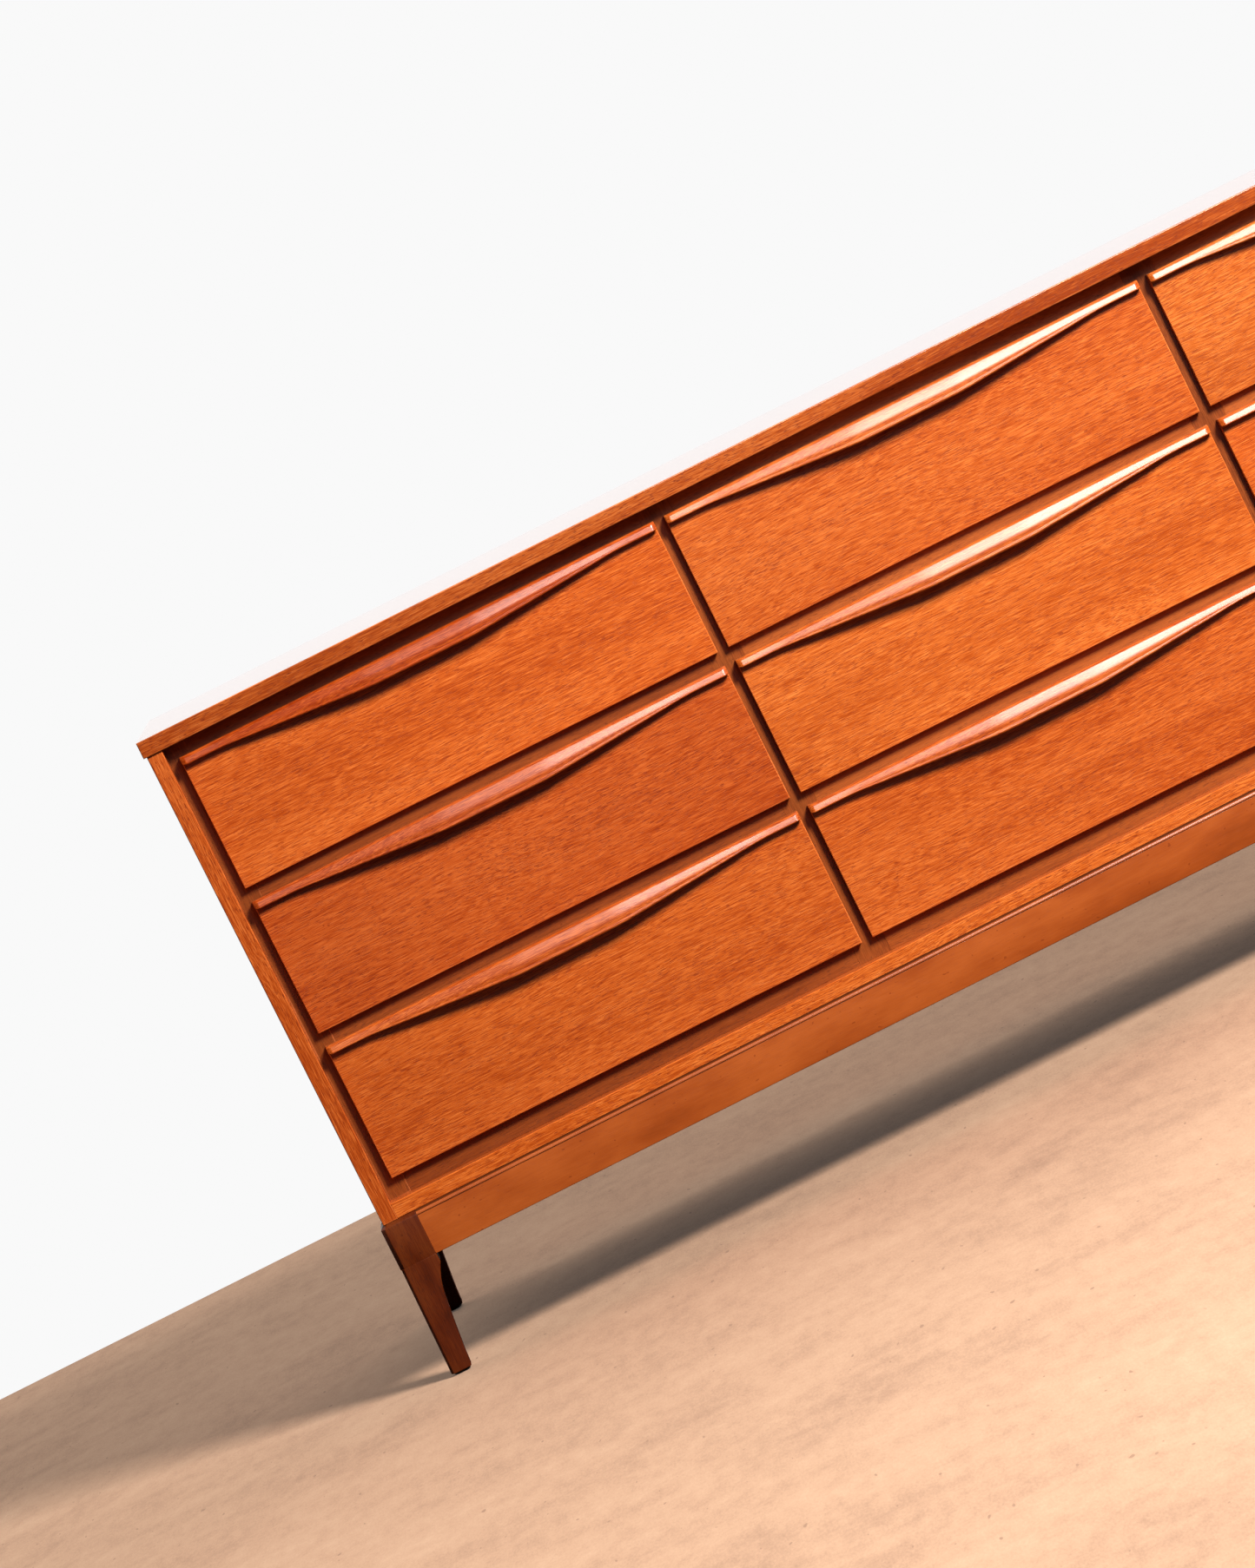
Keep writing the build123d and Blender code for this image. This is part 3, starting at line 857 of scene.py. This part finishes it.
def floor_material():
    """Pale honed stone, mottled and pitted."""
    shader = Shader("floor_stone")
    point = shader.place()
    clouds = shader.noise(point, (2.4, 3.0, 1.0), 5.0, 0.6)
    fine = shader.noise(point, (55.0, 16.0, 1.0), 4.0, 0.65)
    grit = shader.noise(point, (420.0, 110.0, 1.0), 3.0, 0.7)
    pits = shader.between(shader.noise(point, (110.0, 34.0, 1.0), 1.0), 0.74, 0.80)
    mottling = shader.noise(point, (11.0, 9.0, 1.0), 6.0, 0.75)
    value = shader.math("MULTIPLY_ADD", fine, 0.40, shader.math("MULTIPLY", clouds, 0.60))
    value = shader.vary(value, grit, 0.45)
    value = shader.vary(value, mottling, 0.55)
    value = shader.math("MULTIPLY_ADD", pits, -0.5, value)
    colour = shader.ramp(value, FLOOR_COLOURS)
    seen = shader.node("ShaderNodeLightPath").outputs["Is Camera Ray"]
    share = shader.math("MULTIPLY_ADD", seen, 1 - FLOOR_BOUNCE, FLOOR_BOUNCE)
    colour = shader.mix(share, (0.0, 0.0, 0.0), colour)
    rough = shader.math("MULTIPLY_ADD", fine, 0.2, 0.5)
    shader.set(Base_Color=colour, Roughness=rough, Specular_IOR_Level=0.0, IOR=1.02)
    shader.set(Emission_Color=(*FLOOR_FILL, 1), Emission_Strength=seen)
    return shader.material


def wall_material():
    """An evenly lit white backdrop that lets the view through from behind."""
    shader = Shader("wall_white")
    glow = shader.node("ShaderNodeEmission")
    rays = shader.node("ShaderNodeLightPath").outputs
    strength = shader.math("MULTIPLY_ADD", rays["Is Diffuse Ray"], WALL_BOUNCE - WALL_GLOW, WALL_GLOW)
    strength = shader.math("MULTIPLY_ADD", rays["Is Glossy Ray"], WALL_SHEEN - WALL_GLOW, strength)
    shader.feed(glow.inputs["Strength"], strength)
    clear = shader.node("ShaderNodeBsdfTransparent")
    behind = shader.node("ShaderNodeNewGeometry").outputs["Backfacing"]
    both = shader.node("ShaderNodeMixShader")
    shader.feed(both.inputs[0], behind)
    shader.tree.links.new(glow.outputs[0], both.inputs[1])
    shader.tree.links.new(clear.outputs[0], both.inputs[2])
    shader.tree.links.new(both.outputs[0], shader.output.inputs["Surface"])
    shader.tree.nodes.remove(shader.surface)
    return shader.material


def add_light(name, place, size, power, colour, glint_only=False):
    """A soft lamp, width and height in size, that isn't seen itself.
    With glint_only it shows in shiny surfaces, but lights no matt ones."""
    data = bpy.data.lights.new(name, "AREA")
    data.shape = "RECTANGLE"
    data.size, data.size_y = size
    data.energy = power
    data.color = colour
    lamp = bpy.data.objects.new(name, data)
    lamp.location = place
    lamp.rotation_mode = "QUATERNION"
    lamp.rotation_quaternion = (Vector(AIM) - Vector(place)).to_track_quat("-Z", "Y")
    lamp.visible_camera = False
    lamp.visible_diffuse = not glint_only
    bpy.context.scene.collection.objects.link(lamp)


def add_stage():
    """Floor, backdrop, lamps and the room's own light."""
    far = FLOOR_HALF
    add_sheet("floor", [(-far, -far, 0), (far, -far, 0), (far, far, 0), (-far, far, 0)], floor_material())
    wall = [(-far, WALL_Y, 0), (far, WALL_Y, 0), (far, WALL_Y, WALL_HEIGHT), (-far, WALL_Y, WALL_HEIGHT)]
    add_sheet("wall", wall, wall_material())
    add_light("key", KEY_PLACE, KEY_SIZE, KEY_POWER, KEY_COLOUR)
    for index, (power, height) in enumerate(CARD_STRIPS):
        place = (CARD_START + index * CARD_WIDTH, CARD_Y, CARD_TOP - height / 2)
        add_light(f"card_{index}", place, (CARD_WIDTH, height), power, CARD_COLOUR, glint_only=True)
    world = bpy.data.worlds.new("room")
    world.use_nodes = True
    background = world.node_tree.nodes["Background"]
    background.inputs["Color"].default_value = (*ROOM_COLOUR, 1)
    background.inputs["Strength"].default_value = ROOM_LIGHT
    bpy.context.scene.world = world
    bpy.context.scene.view_settings.view_transform = "Standard"


# Which wood goes where

# Lattices that tell a node's boards apart, one cell to a board. An axis that all its boards share is one cell
# long, from well outside the dresser.
ONE_CELL = 40.0
OUTSIDE = -10.0
column_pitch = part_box("drawer_front_r1c2")[0].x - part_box("drawer_front_r1c1")[0].x
row_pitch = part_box("drawer_front_r1c1")[0].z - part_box("drawer_front_r2c1")[0].z
lowest_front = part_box("drawer_front_r3c1")
lowest_middle = (lowest_front[0].z + lowest_front[1].z) / 2
BOARD_CELLS = ((column_pitch, ONE_CELL, row_pitch), (-column_pitch / 2, OUTSIDE, lowest_middle))
STILE_CELLS = ((column_pitch, ONE_CELL, ONE_CELL), (0.0, OUTSIDE, OUTSIDE))
BLOCK_CELLS = ((ONE_CELL, ONE_CELL, ONE_CELL), (0.0, 0.0, OUTSIDE))

BOARDS = (
    ("top_panel", "top_veneer", "X"), ("bottom_panel", "case_veneer", "X"),
    ("side_left", "case_veneer", "Z"), ("side_right", "case_veneer", "Z"),
    ("back_panel", "plywood", "X"), ("partition_left", "inner_wood", "Z"),
    ("partition_right", "inner_wood", "Z"), ("stile_left", "frame_wood", "Z"),
    ("stile_right", "frame_wood", "Z"), ("apron_back", "base_wood", "X"),
)
RAILS = ("rail_top", "rails_middle", "rail_bottom")
BOARD_TINTS = {
    "top_panel": (0.70, 0.72, 0.78), "side_left": (0.86, 0.85, 0.90), "side_right": (0.86, 0.85, 0.90),
    "bottom_panel": (1.05, 1.14, 1.20), "stile_left": (0.76, 0.76, 0.74),
}
MIDDLE_STILE_TINT = (0.77, 0.73, 0.69)
FRONT_TINTS = {
    "r1c1": (1.00, 1.00, 1.00), "r1c2": (0.91, 0.93, 0.99), "r1c3": (0.93, 1.10, 1.24),
    "r2c1": (0.80, 0.68, 0.66), "r2c2": (0.99, 1.08, 1.15), "r2c3": (0.97, 0.95, 0.95),
    "r3c1": (0.92, 0.90, 0.86), "r3c2": (0.94, 0.93, 0.93), "r3c3": (1.00, 1.02, 1.00),
}
RAIL_PAINTED_SHADE = (-0.25, -0.35, (0.72, 0.64, 0.56))      # painted shade away from the light: X where its darker tint starts and is full, and the tint
FRONT_PAINTED_SHADE = (-0.60, -0.90, (0.93, 0.90, 0.90))     # the same painted shade for the fronts of the left column
PULL_SHADE = (0.93, 0.90, 0.86)         # the pulls beside their fronts
DULL_PULL = "r1c1"                      # one pull is browner and less shiny than the others
DULL_PULL_SHADE = (0.70, 0.52, 0.32)


def add_case_woods():
    """Woods and eased edges for the case's boards."""
    for name, look, grain in BOARDS:
        dress(name, wood(name, look, grain, BOARD_TINTS.get(name, WHITE), box=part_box(name)))
    dress("stiles_middle", wood("stiles_middle", "frame_wood", "Z", MIDDLE_STILE_TINT, cells=STILE_CELLS))
    for name in RAILS:
        dress(name, wood(name, "frame_wood", "X", cells=BOARD_CELLS, left_painted_shade=RAIL_PAINTED_SHADE))
    dress("drawer_guides", wood("drawer_guides", "inner_wood", "Y", cells=BOARD_CELLS))
    dress("corner_blocks", wood("corner_blocks", "inner_wood", "X", cells=BLOCK_CELLS))
    dress("base_screws", screw_steel("screw_steel"))
    for name in (*(board[0] for board in BOARDS), "stiles_middle", *RAILS, "drawer_guides"):
        soften(name, FINE_EDGE)


def add_drawer_woods():
    """Woods and eased edges for the drawers' boards."""
    for place in PLACES:
        front, box, bottom = (f"drawer_{part}_{place}" for part in ("front", "box", "bottom"))
        # The left column's fronts get a painted shade towards the left.
        left_shade = FRONT_PAINTED_SHADE if place.endswith("c1") else None
        dress(front, wood(front, "front_veneer", "X", FRONT_TINTS[place], box=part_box(front), left_painted_shade=left_shade))
        soften(front, FINE_EDGE)
        low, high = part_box(box)
        walls = (low.y + BOX_WALL, high.y - BOX_WALL)
        dress(box, wood(box, "inner_wood", "Y", cells=BOARD_CELLS, cross_grain=walls))
        soften(box, BOX_EDGE)
        dress(bottom, wood(bottom, "plywood", "X"))


def pull_wood(place):
    """The wood of one pull: its front's tint, a little darker."""
    dull = place == DULL_PULL
    shade = DULL_PULL_SHADE if dull else PULL_SHADE
    tint = [first * second for first, second in zip(FRONT_TINTS[place], shade)]
    return wood(f"pull_{place}", "dull_pull_wood" if dull else "pull_wood", "X", tint)


def add_base_pieces():
    """The shaped legs, aprons and glides, with their materials."""
    legs = [f"leg_{end}_{side}" for end in ("front", "back") for side in ("left", "right")]
    add_legs({name: wood(name, "leg_wood", "Z") for name in legs})
    base_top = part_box("apron_front")[1].z
    shaded_grooves = [(base_top - down * MM, half_width * MM) for down, half_width in APRON_SHADED_GROOVES]
    add_aprons({
        "apron_front": wood("apron_front", "base_wood", "X", shaded_grooves=shaded_grooves),
        "aprons_side": wood("aprons_side", "base_wood", "Y", shaded_grooves=shaded_grooves),
    })
    add_glides(dark_plastic("glide_plastic"))


add_camera()
add_stage()
add_case_woods()
add_drawer_woods()
add_pulls({place: pull_wood(place) for place in PLACES})
add_base_pieces()
